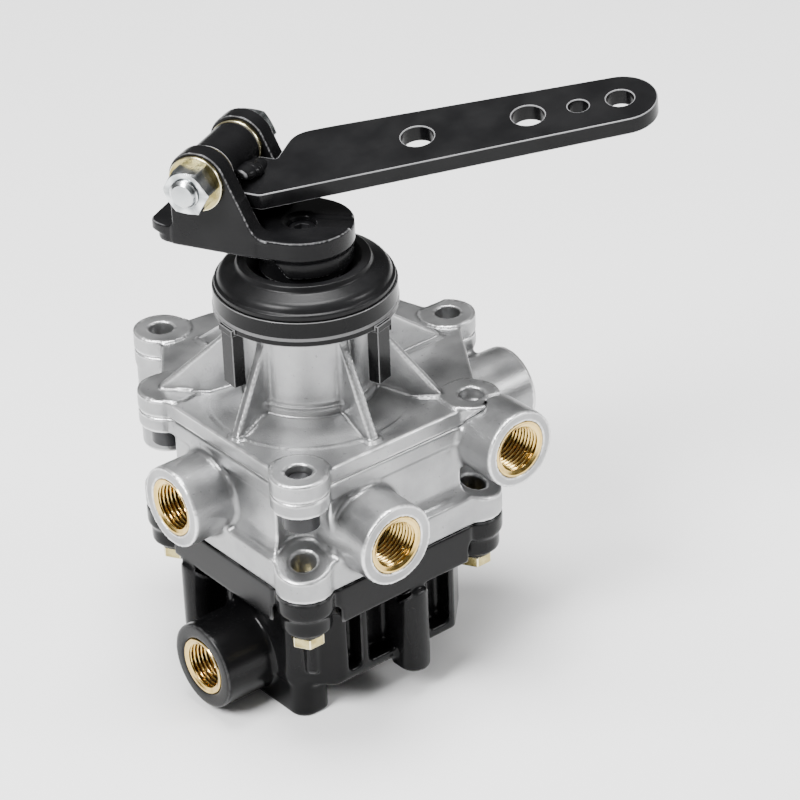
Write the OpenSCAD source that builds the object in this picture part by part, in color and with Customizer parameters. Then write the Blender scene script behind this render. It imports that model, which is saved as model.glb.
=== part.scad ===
/* [Screw square and lugs] */
// Half the pitch of the four corner screws
sq = 37; // [35:0.5:39]
// Radius of every round lug
lug_r = 10; // [9.5:0.25:10.5]
// Radius of the two mounting holes
mount_hole_r = 4.5; // [3.5:0.25:5]
// Half width of the cast block between the corner lugs
block_half = 41; // [40.5:0.25:42]
// Mounting lug at the left end of the flange, across
lug1_x = -14; // [-18:0.5:-10]
// Mounting lug at the left end of the flange, back
lug1_y = 72; // [70:0.5:76]
// Mounting lug at the right end of the flange, across
lug5_x = 68; // [66:0.5:72]
// Mounting lug at the right end of the flange, back
lug5_y = 12; // [9:0.5:14]

/* [Cover casting] */
// Thickness of the cover plate between the pads
plate_t = 6; // [5:0.5:8]
// Height of the machined pads above the plate
pad_h = 0.8; // [0.4:0.1:1.5]
// Outer radius at the top of the neck
neck_r = 27.2; // [26.6:0.2:27.6]
// Height of the neck above the pads
neck_h = 41; // [40:0.5:44]
// Radius of the flared foot of the neck
foot_r = 35.5; // [33:0.5:37]
// Thickness of the upright ribs
rib_t = 4; // [3:0.5:5]
// Height at which the ribs meet the neck
rib_top = 32.5; // [24:0.5:33]
// Spindle axis, measured across from the centre of the screw square
spin_x = -3; // [-4:0.5:-1]

/* [Valve body casting] */
// Thickness of the upper flange of the valve body
flange_t = 6.05; // [5:0.5:8]
// Level of the joint between the valve body and the lower housing
split_z = -46; // [-48:0.2:-45]
// Radius of the rotor chamber
chamber_r = 22.5; // [21:0.5:23]
// Depth of the rotor chamber below the joint with the cover
chamber_d = 9.2; // [8.5:0.1:10]
// Slope of the lower lugs towards the corners
lug_slope = 15.5; // [8:0.5:20]
// Radius of the corner hollows around the cover screws
hollow_r = 9.5; // [8.5:0.25:9.75]

/* [Ports] */
// Radius of the port bosses
boss_r = 14.5; // [14:0.25:15.5]
// Distance of the port faces from the centre of the screw square
port_face = 58; // [56:0.5:62]
// Inner radius of the threaded port inserts
thread_r = 8.2; // [7.5:0.1:8.5]
// Outer radius of the port inserts
insert_r = 10.25; // [9.5:0.25:11]
// Length of the port inserts
insert_l = 14.4; // [12:0.2:15]
// Port on the front right face, near the front lug, across
port_a_x = -14; // [-18:0.5:-12]
// Port on the front right face, near the front lug, level
port_a_z = -28.6; // [-29.5:0.1:-28.2]
// Port below the right lug, across
port_b_x = 40.3; // [39:0.1:42]
// Port below the right lug, level
port_b_z = -14; // [-15:0.1:-14]
// Port on the front left face, back
port_c_y = 8; // [6:0.5:10]
// Port on the front left face, level
port_c_z = -26.2; // [-27:0.1:-25]
// Port on the far right face, back
port_e_y = -7; // [-9:0.5:-5]
// Port on the far right face, level
port_e_z = -26; // [-26.5:0.1:-25]
// Distance of the far right port face from the centre of the screw square
port_e_x = 80; // [76:0.5:84]
// Supply port of the lower housing, back
supply_y = -3.2; // [-6:0.2:0]
// Supply port of the lower housing, level
supply_z = -85.7; // [-86:0.1:-85]
// Radius of the supply boss
supply_r = 15.6; // [15:0.2:16.4]

/* [Lower housing] */
// Half width of the housing flange
base_half = 45; // [44:0.25:46]
// Thickness of the housing flange and its lugs
base_t = 14.5; // [12:0.5:16]
// Level of the bottom of the housing
floor_z = -91; // [-92:0.2:-90.4]
// Radius of the air chamber
air_r = 24; // [22:0.5:25]
// Level of the bottom of the air chamber
air_z = -80; // [-80.5:0.1:-79]
// Depth of the pockets in the ribbed walls
pocket_d = 6.5; // [4:0.25:6.5]
// Height of the sump block under the housing
sump_h = 13; // [9:0.5:15]

/* [Fasteners] */
// Shank radius of the long corner screws
screw_r = 3.95; // [3.7:0.05:4]
// Head radius of the socket screws
cap_head_r = 6.25; // [5.5:0.25:6.5]
// Head height of the socket screws
cap_head_h = 7.4; // [6:0.2:8]
// Width across the corners of the hexagon heads
hex_w = 12; // [11:0.5:13]
// Height of the hexagon heads
hex_h = 4; // [3:0.25:5]
// Height of the collars that the hexagon heads bear on
collar_h = 2.4; // [1.5:0.1:3]

/* [Boot and ring] */
// Width of the boot ring from the neck outwards
ring_w = 4.1; // [3.7:0.1:5.8]
// Drop from the top of the neck to the bottom of the boot ring
ring_drop = 5.4; // [5:0.2:7]
// Height of the boot ring
ring_h = 8.7; // [8:0.1:9.5]
// Width of the ring legs
leg_w = 6.5; // [5:0.25:8]
// Level of the feet of the ring legs
leg_z = 15; // [13:0.5:20]
// Height of the boot above its ring
boot_h = 8.7; // [8:0.1:8.9]

/* [Spindle and fork] */
// Radius of the spindle
spindle_r = 8; // [7:0.25:8.5]
// Travel of the spindle either side of the neutral position
spin_travel = 45; // [20:5:60]
// Thickness of the fork base
fork_t = 7; // [6.5:0.1:8]
// Rise of the fork base above the top of the neck
fork_rise = 18; // [17:0.2:19]
// Radius of the fork hub
hub_r = 17.4; // [17:0.1:18]
// Half width of the fork base
fork_half = 18; // [17.6:0.1:19]
// Direction from the fork tail to its hub, seen from above
fork_dir = -63; // [-75:1:-50]
// Distance from the spindle to the hinge bolt
hinge_u = 28; // [27:0.25:29]
// Height of the hinge bolt above the bottom of the fork base
hinge_rise = 24.5; // [23:0.25:26]
// Thickness of the fork ears
ear_t = 7; // [5:0.25:8]
// Radius of the fork ears around the hinge bolt
ear_r = 10.5; // [10:0.25:11]
// Gap between the fork ears
ear_gap = 23; // [22:0.25:24]
// Radius of the hinge bolt
bolt_r = 5; // [4:0.25:5.25]
// Width across the flats of the hinge bolt and nut
bolt_af = 16; // [14:0.5:17]

/* [Lever] */
// Radius of the barrel
barrel_r = 9; // [8.5:0.1:9.1]
// Thickness of the lever
lever_t = 6; // [4:0.25:6.5]
// Direction of the lever, seen from above
lever_dir = -31; // [-35:0.5:-28]
// Rise of the lever along its length
lever_rise = 6; // [4:0.5:8]
// Roll of the lever about its length
lever_roll = 9.7; // [8:0.1:11]
// Distance from the hinge bolt to the first lever hole
hole1_x = 64.5; // [60:0.5:70]
// Distance of the lever's centre line from the hinge bolt
lever_y = -3.6; // [-4.5:0.1:-3]
// Depth of the lever's top face below the hinge bolt
lever_drop = 3; // [2.5:0.1:4]
// Width of the lever at its first hole
lever_w1 = 28.3; // [26:0.1:30]
// Width of the lever at its round tip
lever_w4 = 25; // [22:0.1:27]
// Distance from the first to the second hole
hole2_d = 37.3; // [30:0.1:40]
// Distance from the first to the third hole
hole3_d = 54.3; // [50:0.1:56]
// Distance from the first to the fourth hole
hole4_d = 68.5; // [66:0.1:74]
// Radius of the first two holes
hole_big_r = 5.6; // [4:0.1:6]
// Radius of the third hole
hole_small_r = 3.55; // [2.5:0.05:4]
// Radius of the fourth hole
hole_end_r = 4.7; // [3.5:0.1:5]

/* [Clearances] */
// Running clearance around a turning or sliding pin
run_gap = 0.05; // [0.02:0.01:0.1]
// Clearance between pieces that move past each other
move_gap = 0.3; // [0.2:0.05:0.5]
// Clearance around pressed or glued-in pieces
seat_gap = 0.03; // [0.02:0.01:0.05]
// Clearance of the screws in their holes
screw_gap = 0.4; // [0.2:0.05:0.5]

/* [Hidden] */
$fn = 48;
eps = 0.01;
// The origin lies midway between the two mounting holes, on the pad faces
mid_x = (lug1_x + lug5_x) / 2;
mid_y = (lug1_y + lug5_y) / 2;
plate_top = -pad_h;
joint_z = plate_top - plate_t;
flange_z = joint_z - flange_t;
chamber_z = joint_z - chamber_d;
base_z = split_z - base_t;
corners = [[-1, -1], [1, -1], [-1, 1], [1, 1]];
// The port faces, their axes as turns about Z from +X, and boss radii
ports = [
    [port_a_x, -port_face, port_a_z, -90, boss_r],
    [port_b_x, -port_face, port_b_z, -90, -port_b_z],
    [-port_face, port_c_y, port_c_z, 180, boss_r],
    [port_e_x, port_e_y, port_e_z, 0, boss_r]
];
// The corner over the port below the right lug has no room for a cover screw
screw_corners = [[-1, -1], [-1, 1], [1, 1]];
plate_edge = sq + 5;
// Inner stack of the rotary slide
stator_t = 3.7;
stator_top = chamber_z + stator_t;
rotor_t = 5.6;
rotor_r = chamber_r - 2.5;
rotor_top = stator_top + run_gap + rotor_t;
// Detent plate, thrust washer and the roof above them
roof_z = 17.5;
washer_t = 0.6;
detent_t = 4.8;
detent_top = roof_z - washer_t - 2 * run_gap;
detent_pitch = 15;
plunger_r = 4;
plunger_lift = 0.15;
dimple_d = 1.2;
bush_r = 10;
bush_z = 30;
seal_r = 13;
seal_t = 3.6;
seal_z = neck_h - 0.4 - seal_t;
// Levels above the neck
ring_z = neck_h - ring_drop;
fork_z = neck_h + fork_rise;
hinge_z = fork_z + hinge_rise;
// Boot skirt and ring walls
skirt_t = 1.7;
ring_r = neck_r + ring_w;
ring_top = ring_z + ring_h;
lip_z = ring_top + boot_h;
lip_r = 21.6;
leg_angles = [176.5, 285, 355.5, 106];
// Fork neck and spindle
fork_neck_r = 15;
fork_neck_z = fork_z - 9.5;
cam_r = 16.8;
cam_z = fork_z - 6.5;
spindle_top = fork_z - 2;
hub_hole_r = 3.3;
hub_head_r = 4.55;
hub_seat_z = fork_z + 1;
fork_top = fork_z + fork_t;
ear_out = ear_gap / 2 + ear_t;
pin_washer_t = 1.6;
barrel_half = ear_gap / 2 - pin_washer_t - 0.2;
pin_washer_r = barrel_r + 0.3;
// Angle between the lever and the fork, seen from above
skew = lever_dir - fork_dir;
tilt_v = 11.4;
nut_h = 8;
nut_washer_t = 1.5;
bolt_head_h = 6.4;
// Supply path
duct_r = 4.5;
cage_z = -66;
poppet_r = 10.5;
stem_r = 2.5;
exhaust_x = 22;
exhaust_y = 29;
exhaust_r = 5;

// Moves a piece from the screw square to the origin between the mounting holes
module place() {
    translate([-mid_x, -mid_y, 0]) children();
}

// Moves a piece onto the spindle axis
module on_axis() {
    translate([spin_x, 0, 0]) children();
}

// Moves a piece to the hinge bolt, with X from the tail to the hub and Y along the bolt
module on_hinge() {
    on_axis() rotate([0, 0, fork_dir]) translate([-hinge_u, 0, hinge_z]) children();
}

// Unit vector
function unit(v) = v / norm(v);

// Arc that rounds the corner b between a and c
function bend(a, b, c, r, n) = r <= 0 ? [b] :
    let (
        u = unit(a - b),
        w = unit(c - b),
        h = acos(u * w) / 2,
        o = b + unit(u + w) * r / sin(h),
        s = b + u * r / tan(h) - o,
        e = b + w * r / tan(h) - o,
        a0 = atan2(s[1], s[0]),
        d = ((atan2(e[1], e[0]) - a0 + 540) % 360) - 180
    )
    [for (i = [0:n]) o + r * [cos(a0 + d * i / n), sin(a0 + d * i / n)]];

// Outline with its corners rounded: each point is [x, y, radius]
function rounded(p, n = 6) = [
    for (i = [0:len(p) - 1])
        let (
            k = len(p),
            a = p[(i + k - 1) % k],
            b = p[i],
            c = p[(i + 1) % k]
        )
        each bend([a[0], a[1]], [b[0], b[1]], [c[0], c[1]], b[2], n)
];

// Hole along X into a face at x = 0, entered from +X
module hole_x(r, depth) {
    translate([-depth, 0, 0]) rotate([0, 90, 0]) cylinder(r = r, h = depth + 1);
}

// Straight bar between two points
module drill(p, q, r) {
    d = q - p;
    translate(p) rotate([0, acos(d[2] / norm(d)), atan2(d[1], d[0])]) cylinder(r = r, h = norm(d), $fn = 24);
}

// Outline shared by the cover plate and the flange of the valve body
module flange_outline() {
    e = plate_edge;
    polygon(rounded([
        [-e, -e, 2],
        [sq, -e, 0],
        [sq + 3, -sq, 1],
        [lug5_x + 2, lug5_y - 3, 0],
        [lug5_x - 2, lug5_y + lug_r - 1, 0],
        [57, 54, 9],
        [lug1_x + 20, lug1_y - 1, 9],
        [lug1_x + 1, lug1_y + 1, 0],
        [-sq - 1, sq + 2, 1],
        [-e, sq, 0]
    ]));
}

// Upright rib from the neck down to the plate, at an angle about the spindle
module rib(angle, foot) {
    on_axis() rotate([0, 0, angle]) translate([0, rib_t / 2, 0]) rotate([90, 0, 0])
        linear_extrude(rib_t) polygon([
            [neck_r - 2.5, plate_top - 1],
            [foot - 1, plate_top - 1],
            [foot, plate_top + 0.6],
            [neck_r + 1.5, rib_top],
            [neck_r - 2.5, rib_top]
        ]);
}

module upper_cover() {
    color("silver") place() difference() {
        union() {
            translate([0, 0, joint_z]) linear_extrude(plate_t) flange_outline();
            for (c = corners) translate([sq * c[0], sq * c[1], joint_z]) cylinder(r = lug_r, h = plate_t + pad_h);
            translate([lug1_x, lug1_y, joint_z]) cylinder(r = lug_r, h = plate_t + pad_h);
            translate([lug5_x, lug5_y, joint_z]) cylinder(r = lug_r, h = plate_t + pad_h);
            on_axis() rotate_extrude($fn = 96) polygon(rounded([
                [10, joint_z + 1, 0],
                [foot_r, joint_z + 1, 0],
                [foot_r, plate_top, 0],
                [neck_r + 3.4, 6.2, 3],
                [neck_r + 0.5, 8.6, 2.5],
                [neck_r, 24, 0],
                [neck_r, neck_h, 0.8],
                [10, neck_h, 0]
            ]));
            rib(188.2, 37);
            rib(265.4, 38.5);
            rib(-41.2, 44.6);
            rib(132, 53);
            translate([0, rib_t / 2 + 1.2, 0]) rib(0, 59.5);
            rib(94, 58);
        }
        // Rotor cavity, bush bore and seal counterbore
        on_axis() {
            translate([0, 0, joint_z - 1]) cylinder(r = chamber_r, h = roof_z - joint_z + 1, $fn = 96);
            translate([0, 0, roof_z - 1]) cylinder(r = spindle_r + move_gap, h = neck_h);
            translate([0, 0, bush_z]) cylinder(r = bush_r + seat_gap, h = neck_h);
            translate([0, 0, seal_z - 0.2]) cylinder(r = seal_r + seat_gap, h = neck_h);
            // Bores of the two detent plungers, open to the cavity
            for (s = [-1, 1]) translate([s * detent_pitch, 0, roof_z - 1]) cylinder(r = plunger_r + run_gap, h = 15.5);
        }
        // Screw holes, the left one closed above by the rib that runs over its lug
        for (c = [[-1, -1], [1, 1]])
            translate([sq * c[0], sq * c[1], joint_z - 1]) cylinder(r = mount_hole_r, h = plate_t + 20);
        translate([-sq, sq, joint_z - 1]) cylinder(r = mount_hole_r, h = plate_t + pad_h + 1);
        // Blind hole in the right lug, and the saddle over the port boss in front of it
        translate([sq, -sq, joint_z + 1.5]) cylinder(r = mount_hole_r, h = 20);
        translate([port_b_x, -plate_edge, port_b_z]) rotate([90, 0, 0])
            cylinder(r = -port_b_z + run_gap, h = 40, $fn = 96);
        translate([lug1_x, lug1_y, joint_z - 1]) cylinder(r = mount_hole_r, h = plate_t + 20);
        translate([lug5_x, lug5_y, joint_z - 1]) cylinder(r = mount_hole_r, h = plate_t + 20);
        // Machined step behind the right mounting lug
        translate([lug5_x - 9, lug5_y + 7.5, plate_top]) cube([14, 5, 3]);
    }
}

// One corner lug of the valve body, with its top sloping outward
module sloped_lug(c) {
    a = atan2(c[1], c[0]);
    translate([sq * c[0], sq * c[1], 0]) difference() {
        translate([0, 0, split_z]) cylinder(r = lug_r, h = 15.6);
        rotate([0, 0, a]) translate([0, 0, split_z + 11.2]) rotate([0, lug_slope, 0])
            translate([-20, -20, 0]) cube([40, 40, 12]);
    }
}

// Drilling from the bottom of a port to the floor of the rotor chamber
module port_way(start, foot, r) {
    drill(start, foot, r);
    translate(foot - [0, 0, r * 0.3]) cylinder(r = r, h = chamber_z - foot[2] + r * 0.3 + 1, $fn = 24);
}

module valve_body() {
    arm_z = -40;
    boss_l = 29;
    color("darkgray") place() difference() {
        union() {
            difference() {
                union() {
                    // Block with its corner hollows
                    translate([-block_half, -block_half, split_z]) cube([2 * block_half, 2 * block_half, joint_z - split_z]);
                    // Flared lower flange on the two visible sides and the two hidden ones
                    for (a = [0:90:270]) rotate([0, 0, a]) translate([0, 30, 0]) rotate([90, 0, 0])
                        linear_extrude(60) polygon([
                            [block_half - 1, split_z],
                            [base_half, split_z],
                            [base_half, split_z + 6.6],
                            [block_half, split_z + 16.6],
                            [block_half - 1, split_z + 16.6]
                        ]);
                    translate([0, 0, split_z]) linear_extrude(11.5) polygon(rounded([
                        [-base_half, -30, 0],
                        [-30, -base_half, 0],
                        [30, -base_half, 0],
                        [base_half, -30, 0],
                        [base_half, 30, 0],
                        [30, base_half, 0],
                        [-30, base_half, 0],
                        [-base_half, 30, 0]
                    ]));
                    // Arms under the two mounting lugs
                    translate([0, 0, arm_z]) linear_extrude(joint_z - arm_z) polygon(rounded([
                        [-30, 38, 0],
                        [lug1_x - 4, lug1_y - 8, 0],
                        [lug1_x + 4, lug1_y - 8, 4],
                        [20, 56, 4],
                        [22, 38, 0]
                    ]));
                    translate([0, 0, arm_z]) linear_extrude(joint_z - arm_z) polygon(rounded([
                        [38, -24, 0],
                        [52, -22, 4],
                        [lug5_x - 10, 6, 4],
                        [lug5_x - 10, 22, 5],
                        [38, 25, 0]
                    ]));
                }
                for (c = corners) translate([sq * c[0], sq * c[1], split_z - 1])
                    cylinder(r = hollow_r, h = flange_z - split_z + 1, $fn = 64);
            }
            for (c = corners) sloped_lug(c);
            // Upper flange and the column of the left mounting lug
            translate([0, 0, flange_z]) linear_extrude(flange_t) flange_outline();
            for (c = corners) translate([sq * c[0], sq * c[1], flange_z]) cylinder(r = lug_r, h = flange_t);
            translate([lug1_x, lug1_y, split_z]) cylinder(r = lug_r - 0.5, h = joint_z - split_z);
            translate([lug1_x, lug1_y, flange_z]) cylinder(r = lug_r, h = flange_t);
            translate([lug5_x, lug5_y, flange_z]) cylinder(r = lug_r, h = flange_t);
            // Port bosses
            for (p = ports) translate([p[0], p[1], p[2]]) rotate([0, 0, p[3]])
                translate([-boss_l, 0, 0]) rotate([0, 90, 0]) cylinder(r = p[4], h = boss_l, $fn = 96);
        }
        // Level joint face, with the port boss rising in front of it
        translate([-100, -plate_edge - run_gap, joint_z]) cube([240, 200, 20]);
        // Rotor chamber and the seat of its seal ring
        on_axis() {
            translate([0, 0, chamber_z]) cylinder(r = chamber_r, h = chamber_d + 1, $fn = 96);
            translate([0, 0, joint_z - 2]) difference() {
                cylinder(r = chamber_r + 4.5, h = 3, $fn = 96);
                translate([0, 0, -1]) cylinder(r = chamber_r + 2.3, h = 5, $fn = 96);
            }
        }
        // Seats of the port inserts
        for (p = ports) translate([p[0], p[1], p[2]]) rotate([0, 0, p[3]]) hole_x(insert_r + seat_gap, insert_l);
        // Ways from the ports to the chamber
        port_way([port_a_x, -port_face + insert_l - 1, port_a_z], [spin_x - 6, -13, port_a_z + 3], 4);
        drill([port_b_x, -port_face + insert_l - 1, port_b_z], [spin_x + 17, -14, joint_z - 3.4], 3);
        port_way([-port_face + insert_l - 1, port_c_y, port_c_z], [spin_x - 13, port_c_y, port_c_z + 1], 4);
        port_way([port_e_x - insert_l + 1, port_e_y, port_e_z], [spin_x + 13, 5, port_e_z + 1], 4);
        on_axis() translate([0, 0, split_z - 1]) cylinder(r = 6, h = 40);
        port_way([exhaust_x, exhaust_y, split_z - 1], [exhaust_x, exhaust_y, -32], exhaust_r);
        drill([exhaust_x, exhaust_y, -30], [spin_x + 6, 13, -24], 4);
        translate([spin_x + 6, 13, -25]) cylinder(r = 4, h = 12, $fn = 24);
        // Screw holes
        for (c = corners) translate([sq * c[0], sq * c[1], split_z - 1]) cylinder(r = screw_r + screw_gap, h = 20);
        for (c = screw_corners) translate([sq * c[0], sq * c[1], flange_z - 1])
            cylinder(r = screw_r + screw_gap, h = flange_t + 2);
        translate([lug1_x, lug1_y, split_z - 1]) cylinder(r = mount_hole_r, h = joint_z - split_z + 2);
        translate([lug5_x, lug5_y, split_z - 1]) cylinder(r = mount_hole_r, h = joint_z - split_z + 2);
    }
}

// Pocket in the front right wall of the lower housing
module front_pocket(x0, x1) {
    translate([x0, -39 - 1, -86]) cube([x1 - x0, pocket_d + 1, base_z + 86]);
}

// Pocket in the front left wall of the lower housing
module left_pocket(y0, y1) {
    translate([-38 - 1, y0, -84]) cube([pocket_d + 1, y1 - y0, base_z + 84]);
}

// Half-round column on a wall that faces -Y, with a slanted top
module wall_column(foot) {
    r = 5.6;
    difference() {
        translate([0, 0, foot]) union() {
            cylinder(r = r, h = -56 - foot);
            translate([-r, 0, 0]) cube([2 * r, 6, -56 - foot]);
        }
        translate([-10, -8.5, -58]) rotate([-40, 0, 0]) cube([20, 30, 30]);
    }
}

module lower_housing() {
    color([0.09, 0.09, 0.1]) place() difference() {
        union() {
            difference() {
                union() {
                    // Flange with its corner lugs, stepped at half height
                    translate([0, 0, base_z]) linear_extrude(base_t) polygon(rounded([
                        [-base_half, -29, 0],
                        [-29, -base_half, 0],
                        [29, -base_half, 0],
                        [base_half, -29, 0],
                        [base_half, 29, 0],
                        [29, base_half, 0],
                        [-29, base_half, 0],
                        [-base_half, 29, 0]
                    ]));
                    // Box with the corner at the screws cut away
                    translate([0, 0, floor_z]) linear_extrude(base_z - floor_z + 1) polygon(rounded([
                        [-38, -25.5, 2],
                        [-25.5, -38, 2],
                        [-24, -39, 1],
                        [25.5, -39, 1],
                        [39, -25.5, 3],
                        [39, 25.5, 2],
                        [25.5, 38, 2],
                        [-25.5, 38, 2],
                        [-38, 25.5, 2]
                    ]));
                }
                // Bevelled bottom edges of the box
                for (a = [180, 270]) rotate([0, 0, a]) translate([38, -60, floor_z - 1]) rotate([0, -45, 0])
                    translate([-5, 0, -5]) cube([12, 120, 6.4]);
                for (p = [[-21.3, -15.7], [-12.3, -0.5], [14.4, 23.4]]) front_pocket(p[0], p[1]);
                for (p = [[8.9, 14.7], [-9, 4.5]]) left_pocket(p[0], p[1]);
                // Notches beside the lugs, below the step
                for (c = corners) translate([sq * c[0], sq * c[1], base_z - 1]) difference() {
                    cylinder(r = lug_r + 1.5, h = base_t / 2 + 1);
                    translate([0, 0, -1]) cylinder(r = lug_r - 1.4, h = base_t + 3);
                    rotate([0, 0, atan2(c[1], c[0])]) translate([-30, -15, -1]) cube([24, 30, base_t]);
                }
            }
            for (c = corners) translate([sq * c[0], sq * c[1], base_z]) {
                cylinder(r = lug_r - 1.2, h = base_t);
                translate([0, 0, -collar_h]) cylinder(r = hex_w / 2 + 0.5, h = collar_h + 1);
                translate([0, 0, base_t / 2]) cylinder(r = lug_r, h = base_t / 2);
            }
            // Half-round columns down the two visible walls
            translate([4.85, -41.5, 0]) wall_column(-94);
            translate([-41, 20.3, 0]) rotate([0, 0, -90]) wall_column(-88);
            // Half-round rib on the cut corner, ending below the hexagon head
            translate([-31.75, -31.75, floor_z + 6])
                cylinder(r = 2.5, h = base_z - collar_h - hex_h - 1 - floor_z - 6);
            // Sump block
            translate([0, 0, floor_z - sump_h]) linear_extrude(sump_h + 2) polygon(rounded([
                [-37, -31, 6],
                [-24, -31, 3],
                [-24, 13, 3],
                [-37, 13, 6]
            ]));
            // Supply boss
            translate([-port_face, supply_y, supply_z]) rotate([0, 90, 0]) cylinder(r = supply_r, h = 24);
        }
        // Air chamber, with the ledge that carries the check valve cage
        on_axis() {
            translate([0, 0, air_z]) cylinder(r = air_r - 3, h = split_z - air_z + 1, $fn = 96);
            translate([0, 0, cage_z]) cylinder(r = air_r, h = split_z - cage_z + 1, $fn = 96);
            translate([0, 0, supply_z]) cylinder(r = duct_r, h = air_z - supply_z + 1);
            translate([0, 0, split_z - 2]) difference() {
                cylinder(r = air_r + 4.5, h = 3, $fn = 96);
                translate([0, 0, -1]) cylinder(r = air_r + 2.3, h = 5, $fn = 96);
            }
        }
        // Supply way
        translate([-port_face, supply_y, supply_z]) rotate([0, 0, 180]) hole_x(insert_r + seat_gap, insert_l);
        translate([-port_face + insert_l - 1, supply_y, supply_z]) rotate([0, 90, 0])
            cylinder(r = duct_r, h = port_face - insert_l + spin_x + 4);
        // Exhaust way, with a shallow recess for its flap
        translate([exhaust_x - 1, exhaust_y - 1, floor_z - 1]) cylinder(r = exhaust_r, h = split_z - floor_z + 2);
        // Screw holes
        for (c = corners) translate([sq * c[0], sq * c[1], base_z - 5]) cylinder(r = screw_r + screw_gap, h = base_t + 10);
    }
}

// Ring with a square section, lying in a groove
module seal_ring(r, z) {
    color([0.05, 0.05, 0.05]) place() on_axis() translate([0, 0, z]) difference() {
        cylinder(r = r + 4.3, h = 1.98, $fn = 96);
        translate([0, 0, -1]) cylinder(r = r + 2.5, h = 5, $fn = 96);
    }
}

module cover_seal() {
    seal_ring(chamber_r, joint_z - 2);
}

module housing_seal() {
    seal_ring(air_r, split_z - 2);
}

// Threaded sleeve with a bevelled mouth, its outer end at x = 0
module insert_sleeve() {
    rotate([0, -90, 0]) rotate_extrude($fn = 64) polygon([
        [thread_r + 1.4, 0],
        [insert_r - 0.5, 0],
        [insert_r, 0.5],
        [insert_r, insert_l],
        [thread_r, insert_l],
        [thread_r, 1.4]
    ]);
}

module port_insert(i) {
    p = ports[i];
    color("goldenrod") place() translate([p[0], p[1], p[2]]) rotate([0, 0, p[3]]) insert_sleeve();
}

module insert_a() { port_insert(0); }
module insert_b() { port_insert(1); }
module insert_c() { port_insert(2); }
module insert_e() { port_insert(3); }

module supply_insert() {
    color("goldenrod") place() translate([-port_face, supply_y, supply_z]) rotate([0, 0, 180]) insert_sleeve();
}

// Socket screws that hold the cover, entered from below
module cover_screws() {
    color([0.12, 0.12, 0.12]) place() for (c = screw_corners) translate([sq * c[0], sq * c[1], flange_z]) difference() {
        union() {
            translate([0, 0, -cap_head_h]) cylinder(r = cap_head_r, h = cap_head_h);
            cylinder(r = screw_r, h = flange_t + plate_t - 2);
        }
        translate([0, 0, -cap_head_h - 1]) cylinder(r = 3.45, h = 5, $fn = 6);
    }
}

// Hexagon screws that hold the lower housing, entered from below
module housing_screws() {
    color([0.75, 0.7, 0.5]) place() for (c = corners) translate([sq * c[0], sq * c[1], base_z]) {
        translate([0, 0, -collar_h - hex_h]) cylinder(r = hex_w / 2, h = hex_h, $fn = 6);
        translate([0, 0, -collar_h - 1]) cylinder(r = screw_r, h = base_t + collar_h + 5);
    }
}

// Rubber boot over the top of the neck, with an open lip around the fork
module boot() {
    s = neck_r + 0.1;
    color([0.07, 0.07, 0.07]) place() on_axis() rotate_extrude($fn = 96) polygon(rounded([
        [s, ring_z + 1.7, 0],
        [s + skirt_t, ring_z + 1.7, 0],
        [s + skirt_t, ring_top - 1.5, 0],
        [ring_r - 1, ring_top + 0.2, 0],
        [ring_r - 4.2, ring_top + 4.6, 8],
        [lip_r, lip_z - 1.8, 0],
        [lip_r - 1, lip_z, 0.5],
        [lip_r - 3.8, lip_z - 0.6, 0.5],
        [fork_neck_r + move_gap, lip_z - 4, 0.6],
        [fork_neck_r + move_gap, lip_z - 6, 0],
        [lip_r - 1.2, lip_z - 4.6, 2],
        [neck_r - 0.4, ring_top - 1, 2],
        [neck_r - 1.4, neck_h + 0.1, 0],
        [s, neck_h + 0.1, 0]
    ], 8));
}

// Plastic ring that clamps the boot, with four legs down the neck
module boot_ring() {
    s = neck_r + 0.15 + skirt_t;
    color([0.1, 0.1, 0.11]) place() on_axis() {
        rotate_extrude($fn = 96) polygon([
            [neck_r + 0.15, ring_z],
            [ring_r, ring_z],
            [ring_r, ring_z + 2.2],
            [ring_r - 0.3, ring_z + 2.6],
            [ring_r - 0.3, ring_top],
            [ring_r - 0.75, ring_top],
            [s, ring_top - 1.6],
            [s, ring_z + 1.6],
            [neck_r + 0.15, ring_z + 1.6]
        ]);
        difference() {
            for (a = leg_angles) rotate([0, 0, a]) {
                translate([neck_r - 2, -leg_w / 2, leg_z]) cube([ring_r + 0.6 - neck_r + 2, leg_w, ring_z - leg_z]);
                translate([neck_r - 2, -leg_w / 2 - 0.6, ring_z - 1]) cube([ring_r + 1.1 - neck_r + 2, leg_w + 1.2, 2.4]);
            }
            translate([0, 0, leg_z - 1]) cylinder(r = neck_r + 0.35, h = ring_z - leg_z + 1, $fn = 96);
            translate([0, 0, ring_z - eps]) cylinder(r = ring_r - 1, h = 5, $fn = 96);
        }
    }
}

module spindle_bush() {
    color("peru") place() on_axis() translate([0, 0, bush_z]) difference() {
        cylinder(r = bush_r, h = seal_z - 0.4 - bush_z);
        translate([0, 0, -1]) cylinder(r = spindle_r + run_gap, h = 20);
    }
}

module shaft_seal() {
    color([0.08, 0.08, 0.08]) place() on_axis() rotate_extrude($fn = 64) polygon([
        [spindle_r + run_gap, seal_z],
        [seal_r, seal_z],
        [seal_r, seal_z + seal_t],
        [seal_r - 2.5, seal_z + seal_t],
        [spindle_r + 1.5, seal_z + 1.2],
        [spindle_r + run_gap, seal_z + seal_t - 1]
    ]);
}

// Fixed plate of the rotary slide, with one window over each way
module port_plate() {
    color("lightsteelblue") place() difference() {
        on_axis() translate([0, 0, chamber_z]) cylinder(r = chamber_r - move_gap, h = stator_t, $fn = 96);
        translate([spin_x, 0, chamber_z - 1]) cylinder(r = 6, h = stator_t + 2);
        for (p = [[-6, -13], [-13, port_c_y], [13, 5], [6, 13]])
            translate([spin_x + p[0], p[1], chamber_z - 1]) cylinder(r = 3.5, h = stator_t + 2, $fn = 24);
    }
}

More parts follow.
